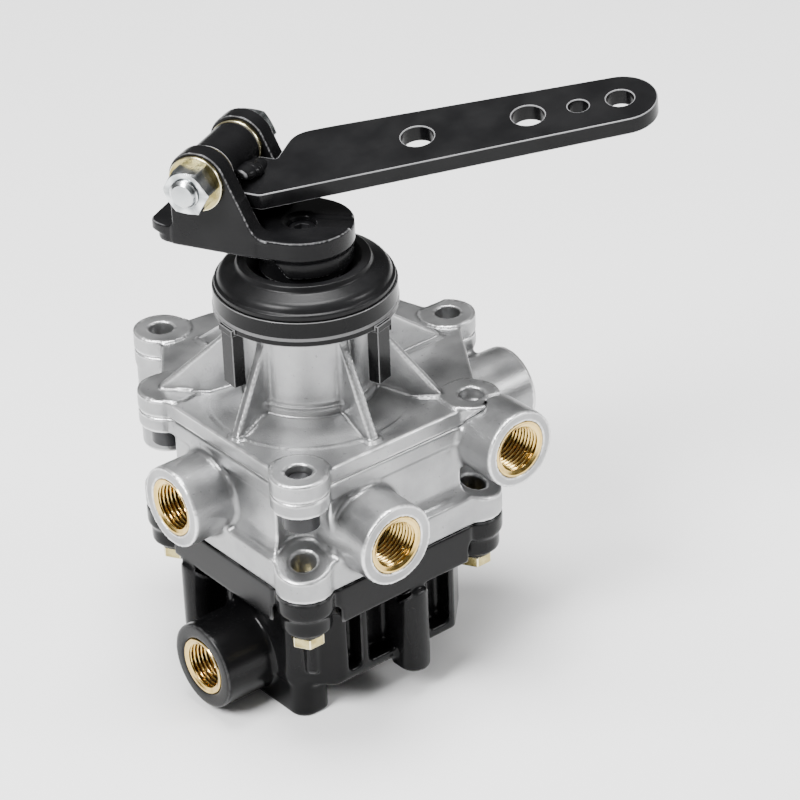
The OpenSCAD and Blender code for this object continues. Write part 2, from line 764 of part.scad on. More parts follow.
// Turning disc of the rotary slide, with its driving slot and two control slots
module rotary_disc() {
    color("dimgray") place() on_axis() translate([0, 0, stator_top + run_gap]) rotate([0, 0, fork_dir]) difference() {
        cylinder(r = rotor_r, h = rotor_t, $fn = 96);
        translate([-7.1, -3.05, 2]) cube([14.2, 6.1, rotor_t]);
        for (a = [60, 240]) rotate([0, 0, a]) translate([13, 0, -1]) cylinder(r = 3, h = 3, $fn = 24);
    }
}

// Cone washer that presses the turning disc onto the port plate
module disc_spring() {
    z = rotor_top + 0.05;
    color("gainsboro") place() on_axis() rotate_extrude($fn = 64) polygon([
        [9, z],
        [10.2, z],
        [15, z + 2.4],
        [15, z + 3.4],
        [14.2, z + 3.4],
        [9, z + 1]
    ]);
}

// Spindle with a driving tongue, a shoulder over the cone washer and a threaded top
module spindle() {
    z = rotor_top + 3.5;
    color("lightgray") place() on_axis() rotate([0, 0, fork_dir]) difference() {
        union() {
            translate([-7, -3, rotor_top - 3]) cube([14, 6, 6]);
            translate([0, 0, rotor_top + 1.1]) cylinder(r = spindle_r, h = spindle_top - rotor_top - 1.2);
            translate([0, 0, z]) cylinder(r = 16, h = 3);
        }
        translate([0, 0, spindle_top - 13]) cylinder(r = 3.05, h = 20);
    }
}

// Detent plate on the spindle, with a row of dimples for each plunger
module detent_plate() {
    color("slategray") place() on_axis() rotate([0, 0, 0]) translate([0, 0, detent_top - detent_t]) difference() {
        cylinder(r = chamber_r - 2.5, h = detent_t - 0.1, $fn = 96);
        translate([0, 0, -1]) cylinder(r = spindle_r + seat_gap, h = 20);
        for (s = [0, 180], a = [-spin_travel:spin_travel / 2:spin_travel]) rotate([0, 0, s + a])
            translate([detent_pitch, 0, detent_t - 0.1 - dimple_d])
                cylinder(r1 = plunger_r - 1.4, r2 = plunger_r - 0.1, h = dimple_d + eps, $fn = 24);
    }
}

module thrust_washer() {
    color("burlywood") place() on_axis() translate([0, 0, detent_top]) difference() {
        cylinder(r = 10.5, h = washer_t);
        translate([0, 0, -1]) cylinder(r = spindle_r + run_gap, h = 5);
    }
}

// Two plungers with tapered tips, drawn clear of the detent plate
module detent_plungers() {
    z = detent_top - 0.1 + plunger_lift;
    color("whitesmoke") place() on_axis() for (s = [-1, 1]) translate([s * detent_pitch, 0, z])
        rotate_extrude($fn = 32) polygon([
            [0, 0],
            [plunger_r - 1.5, 0],
            [plunger_r, 1.3],
            [plunger_r, 8],
            [1.6, 8],
            [1.6, 6],
            [0, 6]
        ]);
}

// Ring of points around a coil of wire
function coil_ring(a, r, wire, z, sides) = [
    for (j = [0:sides - 1])
        let (b = 360 * j / sides)
        [(r + wire * cos(b)) * cos(a), (r + wire * cos(b)) * sin(a), z + wire * sin(b)]
];

// Coil spring along Z from z = 0, with closed round ends
module coil(r, wire, h, turns, sides = 6, per_turn = 12) {
    n = turns * per_turn;
    pts = [for (i = [0:n]) each coil_ring(360 * i / per_turn, r, wire, wire + (h - 2 * wire) * i / n, sides)];
    sides_f = [for (i = [0:n - 1], j = [0:sides - 1])
        [i * sides + j, i * sides + (j + 1) % sides, (i + 1) * sides + (j + 1) % sides, (i + 1) * sides + j]];
    ends_f = [[for (j = [0:sides - 1]) sides - 1 - j], [for (j = [0:sides - 1]) n * sides + j]];
    polyhedron(points = pts, faces = concat(sides_f, ends_f), convexity = 8);
}

module detent_springs() {
    z0 = detent_top - 0.1 + plunger_lift + 8 + 0.05;
    z1 = roof_z + 14.5 - 0.05;
    color("gainsboro") place() on_axis() for (s = [-1, 1]) translate([s * detent_pitch, 0, z0])
        coil(plunger_r - 0.8, 0.45, z1 - z0, 4);
}

// Cage that guides the check valve, held down by the valve body
module check_cage() {
    color("linen") place() on_axis() difference() {
        union() {
            translate([0, 0, cage_z]) cylinder(r = air_r - move_gap, h = 4, $fn = 96);
            translate([0, 0, cage_z]) difference() {
                cylinder(r = air_r - move_gap, h = split_z - cage_z - 0.1, $fn = 96);
                translate([0, 0, 1]) cylinder(r = air_r - 3, h = 40, $fn = 96);
            }
            translate([0, 0, cage_z]) cylinder(r = 6, h = 9);
        }
        translate([0, 0, cage_z - 1]) cylinder(r = stem_r + run_gap, h = 20);
        for (a = [0:60:300]) rotate([0, 0, a]) translate([13, 0, cage_z - 1]) cylinder(r = 4, h = 8);
    }
}

module check_spring() {
    color("gainsboro") place() on_axis() translate([0, 0, air_z + 4.1 + eps])
        coil(6, 0.6, cage_z - air_z - 4.2, 4);
}

// Valve disc with its stem, resting on the mouth of the supply duct
module check_poppet() {
    color([0.2, 0.2, 0.2]) place() on_axis() rotate_extrude($fn = 48) polygon([
        [0, air_z + run_gap],
        [poppet_r - 1, air_z + run_gap],
        [poppet_r, air_z + 1],
        [poppet_r, air_z + 4],
        [stem_r, air_z + 4],
        [stem_r, cage_z + 10],
        [stem_r - 0.6, cage_z + 10.6],
        [0, cage_z + 10.6]
    ]);
}

module supply_filter() {
    color("tan") place() translate([-port_face + insert_l + 1, supply_y, supply_z]) rotate([0, 90, 0]) difference() {
        cylinder(r = duct_r - seat_gap, h = 9);
        translate([0, 0, -1]) cylinder(r = duct_r - 1.6, h = 8);
    }
}

// Rubber flap in the mouth of the exhaust way
module exhaust_flap() {
    color([0.07, 0.07, 0.07]) place() translate([exhaust_x - 1, exhaust_y - 1, floor_z]) {
        translate([0, 0, -1.6]) cylinder(r = 7.5, h = 1.55);
        translate([0, 0, -0.1]) cylinder(r = 1.6, h = 6);
        translate([0, 0, 5]) for (a = [0, 120, 240]) rotate([0, 0, a]) translate([0, -0.8, 0])
            cube([exhaust_r - 0.1, 1.6, 1.5]);
    }
}

// Side of one ear, seen along the hinge bolt, with the bolt at the origin
module ear_side() {
    foot = hinge_u - 8.2;
    drop = hinge_z - fork_top;
    far = norm([foot, drop]);
    turn = atan2(drop, -foot) - asin(ear_r / far);
    run = sqrt(far * far - ear_r * ear_r);
    a1 = turn - 90;
    polygon(concat(
        [for (i = [0:24]) let (a = 180 + (a1 - 180) * i / 24) ear_r * [cos(a), sin(a)]],
        [[foot, -drop], [foot, -drop - fork_t + 0.5], [-ear_r, -drop - fork_t + 0.5]]
    ));
}

module fork() {
    color([0.06, 0.06, 0.06]) place() difference() {
        union() {
            on_axis() rotate([0, 0, fork_dir]) {
                translate([0, 0, fork_z]) cylinder(r = hub_r, h = fork_t, $fn = 96);
                // Base, with a stepped tail
                translate([0, 0, fork_z]) linear_extrude(fork_t) polygon(rounded([
                    [-39.5, -fork_half, 0],
                    [3, -hub_r + 0.6, 0],
                    [3, hub_r - 0.6, 0],
                    [-39.5, fork_half, 0]
                ]));
                translate([0, 0, fork_z]) linear_extrude(fork_t - 0.6) polygon(rounded([
                    [-45, -fork_half, 5],
                    [-38, -fork_half, 0],
                    [-38, fork_half, 0],
                    [-45, fork_half, 5]
                ]));
                // Neck and the half-round segment under the hub
                translate([0, 0, fork_neck_z]) cylinder(r = fork_neck_r, h = fork_z - fork_neck_z + 1);
                difference() {
                    translate([0, 0, cam_z]) cylinder(r = cam_r, h = fork_z - cam_z + 1, $fn = 96);
                    translate([0, 0, cam_z - 1]) linear_extrude(20) polygon([
                        [0, 0],
                        [-36, 18],
                        [-40, -40],
                        [-9, -39]
                    ]);
                    rotate([0, 0, -103]) translate([5, 0, fork_z]) rotate([-50, 0, 0]) translate([0, -2, -20])
                        cube([20, 22, 20]);
                }
            }
            // Ears
            on_hinge() for (s = [-1, 1]) translate([0, s > 0 ? ear_out : -ear_gap / 2, 0])
                rotate([90, 0, 0]) linear_extrude(ear_t) ear_side();
        }
        // Bore of the spindle, hole of the hub screw and its countersunk mouth
        on_axis() {
            translate([0, 0, fork_neck_z - 1]) cylinder(r = spindle_r + seat_gap, h = spindle_top - fork_neck_z + 1);
            cylinder(r = hub_hole_r, h = 90);
            translate([0, 0, hub_seat_z]) cylinder(r = hub_head_r + 0.15, h = 20);
            translate([0, 0, fork_top - 1.3]) cylinder(r1 = hub_head_r + 0.1, r2 = hub_head_r + 1.65, h = 1.35);
            rotate([0, 0, -47.5]) translate([4, -4, fork_top - 1]) cube([20, 8, 5]);
        }
        on_hinge() rotate([90, 0, 0]) translate([0, 0, -30]) cylinder(r = bolt_r + run_gap, h = 60);
    }
}

module hub_screw() {
    color([0.15, 0.15, 0.15]) place() on_axis() difference() {
        union() {
            translate([0, 0, spindle_top - 12]) cylinder(r = 3, h = hub_seat_z - spindle_top + 12);
            translate([0, 0, hub_seat_z]) cylinder(r = hub_head_r, h = 3.4);
        }
        translate([0, 0, hub_seat_z + 1.2]) cylinder(r = 2.9, h = 5, $fn = 6);
    }
}

module hinge_bolt() {
    w = bolt_af / sqrt(3);
    color("silver") place() on_hinge() rotate([90, 0, 0]) {
        translate([0, 0, -ear_out - bolt_head_h]) cylinder(r = w, h = bolt_head_h, $fn = 6);
        translate([0, 0, -ear_out - 1]) cylinder(r = bolt_r, h = 2 * ear_out + nut_washer_t + nut_h + 3);
        translate([0, 0, ear_out + nut_washer_t + nut_h + 2]) cylinder(r1 = bolt_r, r2 = bolt_r - 1.2, h = 1.2);
    }
}

module hinge_nut() {
    w = bolt_af / sqrt(3);
    color("silver") place() on_hinge() rotate([90, 0, 0]) translate([0, 0, ear_out + nut_washer_t]) difference() {
        intersection() {
            cylinder(r = w, h = nut_h, $fn = 6);
            cylinder(r1 = w + 4, r2 = bolt_af / 2 - 0.4, h = nut_h + 1.2, $fn = 64);
        }
        translate([0, 0, -1]) cylinder(r = bolt_r + seat_gap, h = 20);
    }
}

module nut_washer() {
    color("khaki") place() on_hinge() rotate([90, 0, 0]) translate([0, 0, ear_out]) difference() {
        cylinder(r = 9.6, h = nut_washer_t);
        translate([0, 0, -1]) cylinder(r = bolt_r + screw_gap, h = 20);
    }
}

module ear_washers() {
    color("khaki") place() on_hinge() rotate([90, 0, 0]) for (s = [-1, 1])
        translate([0, 0, s > 0 ? barrel_half + 0.1 : -barrel_half - 0.1 - pin_washer_t]) difference() {
            cylinder(r = pin_washer_r, h = pin_washer_t);
            translate([0, 0, -1]) cylinder(r = bolt_r + screw_gap, h = 20);
        }
}

module barrel() {
    color([0.06, 0.06, 0.06]) place() on_hinge() rotate([90, 0, 0]) difference() {
        translate([0, 0, -barrel_half]) cylinder(r = barrel_r, h = 2 * barrel_half, $fn = 96);
        translate([0, 0, -20]) cylinder(r = bolt_r + 1.5 + seat_gap, h = 40);
    }
}

module barrel_bush() {
    color("peru") place() on_hinge() rotate([90, 0, 0]) difference() {
        translate([0, 0, -barrel_half + 0.1]) cylinder(r = bolt_r + 1.5, h = 2 * barrel_half - 0.2);
        translate([0, 0, -20]) cylinder(r = bolt_r + run_gap, h = 40);
    }
}

// Point of the lever's outline, given by its place beside the barrel
function beside(u, v, r) = [
    u * cos(skew) + (v - 1.2) * sin(skew),
    -u * sin(skew) + (v - 1.2) * cos(skew),
    r
];

// Half width of the lever at a distance from the hinge bolt
function half_at(x) = lever_w1 / 2 + (lever_w4 - lever_w1) / 2 * (x - hole1_x) / hole4_d;

// The lever's own place, tilted about the hinge bolt
module on_lever() {
    on_axis() rotate([0, 0, fork_dir]) translate([-hinge_u, 0, hinge_z])
        rotate([0, 0, -fork_dir]) rotate([lever_roll, -lever_rise, lever_dir]) children();
}

// The lever as a flat bar whose root edge runs along the barrel
module lever_solid() {
    tip = hole1_x + hole4_d;
    root = barrel_r + 0.25;
    on_lever() translate([0, 0, -lever_drop - lever_t]) difference() {
        linear_extrude(lever_t) union() {
            polygon(rounded([
                beside(root, -barrel_half + 0.4, 0),
                beside(root + 1.6, -ear_gap / 2 + 1.1, 1),
                beside(root + 9, -ear_gap / 2 + 1.1, 3.5),
                [hole1_x - 28, lever_y - half_at(hole1_x - 28) - 0.3, 12],
                [tip, lever_y - lever_w4 / 2, 0],
                [tip, lever_y + lever_w4 / 2, 0],
                [hole1_x - 28, lever_y + half_at(hole1_x - 28), 0],
                beside(root + 6.4, ear_gap / 2 + 12.5, 9),
                beside(root + 6.4, ear_gap / 2 - 2.2, 1),
                beside(root, barrel_half - 0.4, 0)
            ]));
            translate([tip, lever_y]) circle(r = lever_w4 / 2, $fn = 96);
        }
        translate([hole1_x, lever_y, -1]) cylinder(r = hole_big_r, h = lever_t + 2);
        translate([hole1_x + hole2_d, lever_y, -1]) cylinder(r = hole_big_r, h = lever_t + 2);
        translate([hole1_x + hole3_d, lever_y, -1]) cylinder(r = hole_small_r, h = lever_t + 2);
        translate([tip, lever_y, -1]) cylinder(r = hole_end_r, h = lever_t + 2);
    }
}

module lever_plate() {
    color([0.06, 0.06, 0.06]) place() lever_solid();
}

// Fillet welds between the barrel and the root edge of the lever, above and below
module weld_beads() {
    l = barrel_half - 1.6;
    color([0.1, 0.1, 0.1]) place() difference() {
        on_hinge() rotate([-tilt_v + 90 + 2 * tilt_v, 0, 0]) {
            translate([0, 0, -l]) linear_extrude(2 * l) polygon([
                [barrel_r - 1.5, -lever_drop - lever_t - 1.5],
                [barrel_r + 3, -lever_drop - lever_t],
                [barrel_r + 2, -lever_drop - 3],
                [barrel_r + 4.4, -lever_drop],
                [barrel_r + 2.2, -lever_drop + 1.6],
                [barrel_r - 0.6, -lever_drop + 4.6],
                [barrel_r - 1.6, -lever_drop + 4]
            ]);
        }
        on_hinge() rotate([90, 0, 0]) translate([0, 0, -20]) cylinder(r = barrel_r + eps, h = 40, $fn = 96);
        lever_solid();
    }
}

upper_cover();
valve_body();
lower_housing();
cover_seal();
housing_seal();
insert_a();
insert_b();
insert_c();
insert_e();
supply_insert();
cover_screws();
housing_screws();
boot();
boot_ring();
spindle_bush();
shaft_seal();
port_plate();
detent_springs();
check_cage();
check_spring();
check_poppet();
supply_filter();
exhaust_flap();
spindle();
detent_plate();
thrust_washer();
rotary_disc();
disc_spring();
fork();
hub_screw();
detent_plungers();
hinge_bolt();
hinge_nut();
nut_washer();
ear_washers();
barrel();
barrel_bush();
lever_plate();
weld_beads();
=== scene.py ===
import math

import bmesh
import bpy
import numpy as np
from mathutils import Matrix, Vector


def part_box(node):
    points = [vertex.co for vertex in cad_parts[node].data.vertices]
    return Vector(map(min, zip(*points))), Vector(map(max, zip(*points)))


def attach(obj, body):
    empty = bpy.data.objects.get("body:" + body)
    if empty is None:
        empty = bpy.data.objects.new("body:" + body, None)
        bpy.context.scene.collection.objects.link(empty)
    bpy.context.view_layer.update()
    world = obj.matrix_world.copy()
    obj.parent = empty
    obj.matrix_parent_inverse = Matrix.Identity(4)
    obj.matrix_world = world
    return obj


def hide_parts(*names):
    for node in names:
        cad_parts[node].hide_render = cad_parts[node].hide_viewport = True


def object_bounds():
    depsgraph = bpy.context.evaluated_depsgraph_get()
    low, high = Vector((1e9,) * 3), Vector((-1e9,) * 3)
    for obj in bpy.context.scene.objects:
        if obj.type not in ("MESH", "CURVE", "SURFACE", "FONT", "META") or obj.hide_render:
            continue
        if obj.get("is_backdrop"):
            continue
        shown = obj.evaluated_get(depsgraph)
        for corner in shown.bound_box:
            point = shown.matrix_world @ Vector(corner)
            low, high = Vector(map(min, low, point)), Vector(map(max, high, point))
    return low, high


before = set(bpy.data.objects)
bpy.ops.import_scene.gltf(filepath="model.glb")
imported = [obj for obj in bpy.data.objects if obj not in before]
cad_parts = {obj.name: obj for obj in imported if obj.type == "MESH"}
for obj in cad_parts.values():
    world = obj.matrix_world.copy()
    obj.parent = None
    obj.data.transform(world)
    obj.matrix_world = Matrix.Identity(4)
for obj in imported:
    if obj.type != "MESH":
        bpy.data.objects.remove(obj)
cad_low, cad_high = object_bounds()

# Camera
# The photograph's lens and viewpoint, solved from the corner screws, the lugs and the
# port faces. The shift is in millimetres along the camera's right, down and ahead.
view_az, view_el, view_roll = math.radians(38.535), math.radians(30.505), math.radians(-1.985)
view_shift = (-27.95, -3.3456, 1019.92)
# Centre of the screw square, seen from the origin between the two mounting holes
square_mid = Vector((-0.027, -0.042, 0.0))

world_up = Vector((0, 0, 1))
right = Vector((math.cos(view_az), -math.sin(view_az), 0))
away = Vector((math.sin(view_az), math.cos(view_az), 0))
ahead = away * math.cos(view_el) - world_up * math.sin(view_el)
down = -away * math.sin(view_el) - world_up * math.cos(view_el)
right, down = (
    right * math.cos(view_roll) - down * math.sin(view_roll),
    right * math.sin(view_roll) + down * math.cos(view_roll),
)
offset = right * view_shift[0] + down * view_shift[1] + ahead * view_shift[2]
lens = bpy.data.cameras.new("camera")
lens.lens, lens.sensor_width = 135, 36
lens.clip_start, lens.clip_end = 0.01, 20
camera = bpy.data.objects.new("camera", lens)
stand = Matrix((right, -down, -ahead)).transposed().to_4x4()
stand.translation = square_mid - 0.001 * offset
camera.matrix_world = stand
bpy.context.scene.collection.objects.link(camera)
bpy.context.scene.camera = camera


# Cover casting
# Die-cast aluminium cover with its ribbed neck. The mould leaves small radii on every
# edge and fuller ones in the corners, and the pads around the screw holes are machined.
def merged_copy(node):
    """A copy of the node's mesh with its loose triangles joined."""
    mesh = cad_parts[node].data.copy()
    bm = bmesh.new()
    bm.from_mesh(mesh)
    bmesh.ops.remove_doubles(bm, verts=bm.verts, dist=1e-6)
    bm.to_mesh(mesh)
    bm.free()
    return mesh


def worked(mesh, steps):
    """The mesh after a list of modifiers, each a kind and its values."""
    obj = bpy.data.objects.new("work", mesh)
    bpy.context.scene.collection.objects.link(obj)
    for kind, values in steps:
        mod = obj.modifiers.new(kind.lower(), kind)
        for key, value in values.items():
            setattr(mod, key, value)
    depsgraph = bpy.context.evaluated_depsgraph_get()
    out = bpy.data.meshes.new_from_object(obj.evaluated_get(depsgraph))
    bpy.data.objects.remove(obj)
    return out


def skin_of(points, along=True):
    """A mesh over a grid of points: rows by columns, closed around the columns and, where
    along is true, from the last row to the first."""
    rows, cols = points.shape[:2]
    i, j = np.meshgrid(np.arange(rows if along else rows - 1), np.arange(cols), indexing="ij")
    i2, j2 = (i + 1) % rows, (j + 1) % cols
    faces = np.stack([i * cols + j, i * cols + j2, i2 * cols + j2, i2 * cols + j], -1).reshape(-1, 4)
    mesh = bpy.data.meshes.new("skin")
    mesh.from_pydata(points.reshape(-1, 3).tolist(), [], faces.tolist())
    bm = bmesh.new()
    bm.from_mesh(mesh)
    bmesh.ops.remove_doubles(bm, verts=bm.verts, dist=1e-7)
    bmesh.ops.recalc_face_normals(bm, faces=bm.faces)
    bm.to_mesh(mesh)
    bm.free()
    return mesh


def turned(radii, heights, base):
    """Points of a turned shape: at each height along the base's Z, a radius for each angle
    around it. base holds the X, Y and Z directions and the origin as rows, in metres."""
    radii = np.atleast_2d(radii)
    angle = 2 * np.pi * np.arange(radii.shape[1]) / radii.shape[1]
    x, y = radii * np.cos(angle), radii * np.sin(angle)
    z = np.broadcast_to(heights, radii.shape)
    return 0.001 * (x[..., None] * base[0] + y[..., None] * base[1] + z[..., None] * base[2]) + base[3]


def cast_skin(node, grid, fillet, added=()):
    """The node's solid with a mould's radii. Its surface is rebuilt on a fine grid, moved
    out and back by the fillet radius so that inner corners fill, and relaxed so that
    outer edges round off. The added skins become part of the solid."""
    solid = merged_copy(node)
    bm = bmesh.new()
    for part in (solid, *added):
        bm.from_mesh(part)
    bm.to_mesh(solid)
    bm.free()
    regrid = ("REMESH", {"mode": "VOXEL", "voxel_size": grid})
    relax = ("SMOOTH", {"factor": 0.5, "iterations": 1})
    swell = ("DISPLACE", {"strength": fillet, "mid_level": 0.0})
    shrink = ("DISPLACE", {"strength": -fillet, "mid_level": 0.0})
    return worked(solid, [regrid, relax, swell, regrid, relax, shrink, regrid, relax])


def thinned(mesh, faces):
    """The skin with about so many triangles left, fewest where it is flat."""
    return worked(mesh, [("DECIMATE", {"ratio": min(1.0, faces / (2 * len(mesh.polygons)))})])


def points_of(mesh):
    """The mesh's points as rows of X, Y and Z."""
    points = np.empty(len(mesh.vertices) * 3)
    mesh.vertices.foreach_get("co", points)
    return points.reshape(-1, 3)


def pressed(mesh, axis, level, reach=0.0006):
    """Brings the points within reach of a machined plane exactly onto it."""
    points = points_of(mesh)
    points[np.abs(points[:, axis] - level) < reach, axis] = level
    mesh.vertices.foreach_set("co", points.ravel())


# The spindle's axis stands upright here
spindle_x, spindle_y = -0.030, -0.042


def draw_neck_in(mesh):
    """Draws the neck in below its collar. Around the spindle, each height has four radii:
    the core, the cavity's wall, the neck's wall and the crest of the nearest rib. Each is
    given its new radius and level, and the points between two of them move in proportion.
    The flare at the foot then runs into the plate along a quadratic curve."""
    spindle = 1000 * np.array([[spindle_x], [spindle_y], [0.0]])
    # Each rib's direction in degrees and the radius of its foot
    ribs = np.array([[188.2, 37], [265.4, 38.5], [-41.2, 44.6], [132, 53], [2, 59.5], [94, 58]])
    bore_r, core_r, core_draw, core_run = 19.6, 22.5, 2.1, 4
    plate_z, foot_z, collar_z, top_z = -0.8, -0.2, 32.7, 34.9
    rib_rise, crest_r = 32.7, 28.7
    new_rise, new_crest_r = 27.5, 22.9
    proud = 0.5

    points = points_of(mesh)
    x, y, z = 1000 * points.T - spindle
    r, angle = np.hypot(x, y), np.degrees(np.arctan2(y, x))
    off = np.abs((angle[:, None] - ribs[:, 0] + 180) % 360 - 180)
    foot = ribs[off.argmin(1), 1]
    wall = np.interp(z, [plate_z, 6.2, 8.6, 24], [35.5, 30.6, 27.7, 27.2])
    new_wall = np.interp(z, [plate_z, 6.2, 8.6, 24, 33.9, 34.7], [35.5, 23.0, 21.7, 21.4, 21.4, 27.2])
    new_level = np.interp(z, [plate_z, 6.2, 8.6, 24, 41], [plate_z, 3.9, 7.2, 24, 41])
    rise = np.clip((z - foot_z) / rib_rise, 0, 1)
    crest = np.maximum(foot - (foot - crest_r) * rise, wall + proud)
    new_crest = np.maximum(foot - (foot - new_crest_r) * rise, new_wall + proud)
    new_core = core_r - core_draw * np.clip((z - plate_z) / core_run, 0, 1)

    out = np.clip((r - wall) / (crest - wall), 0, 1)
    inner = np.clip((r - core_r) / (wall - core_r), 0, 1)
    in_core = bore_r + (r - bore_r) / (core_r - bore_r) * (new_core - bore_r)
    drawn = np.where(r < core_r, in_core, new_core + inner * (new_wall - new_core))
    in_rib = new_wall + out * (new_crest - new_wall) + np.maximum(r - crest, 0)
    drawn = np.where(r > wall, in_rib, drawn)
    level = z + inner * (new_level - z)
    level = np.where(r > wall, level + out * (new_rise * rise + foot_z - level) * (z > foot_z), level)
    keep = (r < bore_r) | (z < plate_z) | (z > top_z)
    drawn, level = np.where(keep, r, drawn), np.where(keep | (z > collar_z), z, level)

    # Radius and level where the flare's curve starts, turns and ends
    start, bend, end = np.array([[32, 0.52], [35.5, -0.8], [39, -0.8]])
    t = np.linspace(0, 1, 20)[:, None]
    flare_r, flare_z = (start * (1 - t) ** 2 + 2 * bend * t * (1 - t) + end * t**2).T
    low = (drawn > start[0]) & (drawn < end[0]) & (level > plate_z - 0.03)
    level = np.where(low, np.maximum(level, np.interp(drawn, flare_r, flare_z)), level)
    scale = drawn / np.maximum(r, 1e-6)
    moved = np.stack([x * scale, y * scale, level]) + spindle
    points[:] = (moved / 1000).T
    mesh.vertices.foreach_set("co", points.ravel())
    mesh.update()


def mark_edges(mesh):
    """Stores how sharply the surface bends outwards at each point, in radians per
    metre: the change of the normal along each edge over the edge's length, averaged."""
    count = len(mesh.vertices)
    place, normal = np.empty(count * 3, np.float32), np.empty(count * 3, np.float32)
    mesh.vertices.foreach_get("co", place)
    mesh.vertex_normals.foreach_get("vector", normal)
    place, normal = place.reshape(-1, 3), normal.reshape(-1, 3)
    ends = np.empty(len(mesh.edges) * 2, np.int32)
    mesh.edges.foreach_get("vertices", ends)
    a, b = ends.reshape(-1, 2).T
    step = place[b] - place[a]
    bend = ((normal[b] - normal[a]) * step).sum(1) / np.maximum((step * step).sum(1), 1e-12)
    valence = np.maximum(np.bincount(a, minlength=count) + np.bincount(b, minlength=count), 1)
    value = (np.bincount(a, bend, count) + np.bincount(b, bend, count)) / valence
    for _ in range(2):
        around = np.bincount(a, value[b], count) + np.bincount(b, value[a], count)
        value = 0.5 * value + 0.5 * around / valence
    mark = mesh.attributes.new("edge", "FLOAT", "POINT")
    mark.data.foreach_set("value", value.astype(np.float32))


def stands_for(name, mesh, finish, body, nodes, crease=None):
    """A piece at the origin that rides on a body and stands for CAD nodes. Its faces are
    shaded smooth, and edges that bend more than crease degrees stay sharp."""
    if "edge" not in mesh.attributes:
        mark_edges(mesh)
    mesh.materials.clear()
    mesh.materials.append(finish)
    mesh.polygons.foreach_set("use_smooth", np.ones(len(mesh.polygons), bool))
    if crease:
        mesh.set_sharp_from_angle(angle=math.radians(crease))
    mesh.update()
    obj = bpy.data.objects.new(name, mesh)
    bpy.context.scene.collection.objects.link(obj)
    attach(obj, body)
    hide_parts(*nodes)


def put(tree, socket, value):
    """Gives a socket a link or a plain value."""
    if isinstance(value, bpy.types.NodeSocket):
        tree.links.new(value, socket)
    elif isinstance(value, tuple) and len(value) == 3 and socket.type == "RGBA":
        socket.default_value = (*value, 1)
    else:
        socket.default_value = value


def node_of(tree, kind, **inputs):
    """A shader node with its inputs set, an underscore standing for a space."""
    node = tree.nodes.new(kind)
    for key, value in inputs.items():
        put(tree, node.inputs[key.replace("_", " ")], value)
    return node


def grain(tree, scale, detail):
    """Noise in the piece's own space, in features per metre."""
    place = tree.nodes.new("ShaderNodeTexCoord").outputs["Object"]
    return node_of(tree, "ShaderNodeTexNoise", Vector=place, Scale=scale, Detail=detail).outputs["Fac"]


def ramp(tree, value, start, end, low, high):
    """A value carried from one range to another and held at its ends."""
    bounds = {"From_Min": start, "From_Max": end, "To_Min": low, "To_Max": high}
    return node_of(tree, "ShaderNodeMapRange", Value=value, **bounds).outputs["Result"]


def between(tree, factor, first, second):
    """A colour between two others."""
    node = tree.nodes.new("ShaderNodeMix")
    node.data_type = "RGBA"
    for index, value in ((0, factor), (6, first), (7, second)):
        put(tree, node.inputs[index], value)
    return node.outputs[2]


def finish_of(
    name,
    dark,
    light,
    rough,
    metal,
    blotch,
    speck,
    depth,
    shine=0.5,
    painted_edge_highlight=None,
    pits=None,
    painted_corner_shade=None,
    sharp=(150.0, 450.0),
):
    """A finish whose colour and gloss drift in blotches under a fine grain, both in features
    per metre. depth is the grain's height in metres. The edge colour is a painted highlight
    on the outer edges, where the surface bends more than sharp says, the corner colour is
    painted shade in the inner corners, and pits is the colour of fine specks."""
    mat = bpy.data.materials.new(name)
    mat.use_nodes = True
    tree = mat.node_tree
    shader = tree.nodes["Principled BSDF"]
    broad = grain(tree, blotch, 5.0)
    fine = grain(tree, speck, 3.0)
    colour = between(tree, ramp(tree, broad, 0.35, 0.65, 0.0, 1.0), dark, light)
    if pits:
        specks = ramp(tree, grain(tree, 700.0, 2.0), 0.68, 0.74, 0.0, 0.5)
        colour = between(tree, specks, colour, pits)
    mark = tree.nodes.new("ShaderNodeAttribute")
    mark.attribute_name = "edge"
    # Painted shade: inner corners, where the surface bends inwards, are darkened towards the corner colour
    if painted_corner_shade:
        colour = between(tree, ramp(tree, mark.outputs["Fac"], -100.0, -400.0, 0.0, 0.7), colour, painted_corner_shade)
    # Painted highlight: outer edges that bend more than sharp says are lightened towards the edge colour
    if painted_edge_highlight:
        colour = between(tree, ramp(tree, mark.outputs["Fac"], *sharp, 0.0, 0.8), colour, painted_edge_highlight)
    put(tree, shader.inputs["Base Color"], colour)
    put(tree, shader.inputs["Roughness"], ramp(tree, broad, 0.3, 0.7, rough[0], rough[1]))
    shader.inputs["Metallic"].default_value = metal
    shader.inputs["Specular IOR Level"].default_value = shine
    bump = node_of(tree, "ShaderNodeBump", Height=fine)
    bump.inputs["Distance"].default_value = depth
    put(tree, shader.inputs["Normal"], bump.outputs["Normal"])
    return mat


cast_aluminium = finish_of(
    "cast_aluminium",
    dark=(0.25, 0.252, 0.255),
    light=(0.39, 0.392, 0.395),
    rough=(0.3, 0.4),
    metal=0.92,
    blotch=55.0,
    speck=1500.0,
    depth=0.00008,
    # Painted highlight on the outer edges
    painted_edge_highlight=(0.88, 0.88, 0.885),
    pits=(0.12, 0.12, 0.122),
    # Painted shade in the inner corners
    painted_corner_shade=(0.1, 0.1, 0.1),
)
upright = (np.array((1.0, 0, 0)), np.array((0, 1.0, 0)), np.array((0, 0, 1.0)))


def collar(inner, outer, low, high, x, y):
    """An upright ring between two radii and two levels around a point of the plate."""
    radii = [[inner] * 48, [outer] * 48, [outer] * 48, [inner] * 48]
    return skin_of(turned(radii, [[low], [low], [high], [high]], (*upright, np.array((x, y, 0)))))


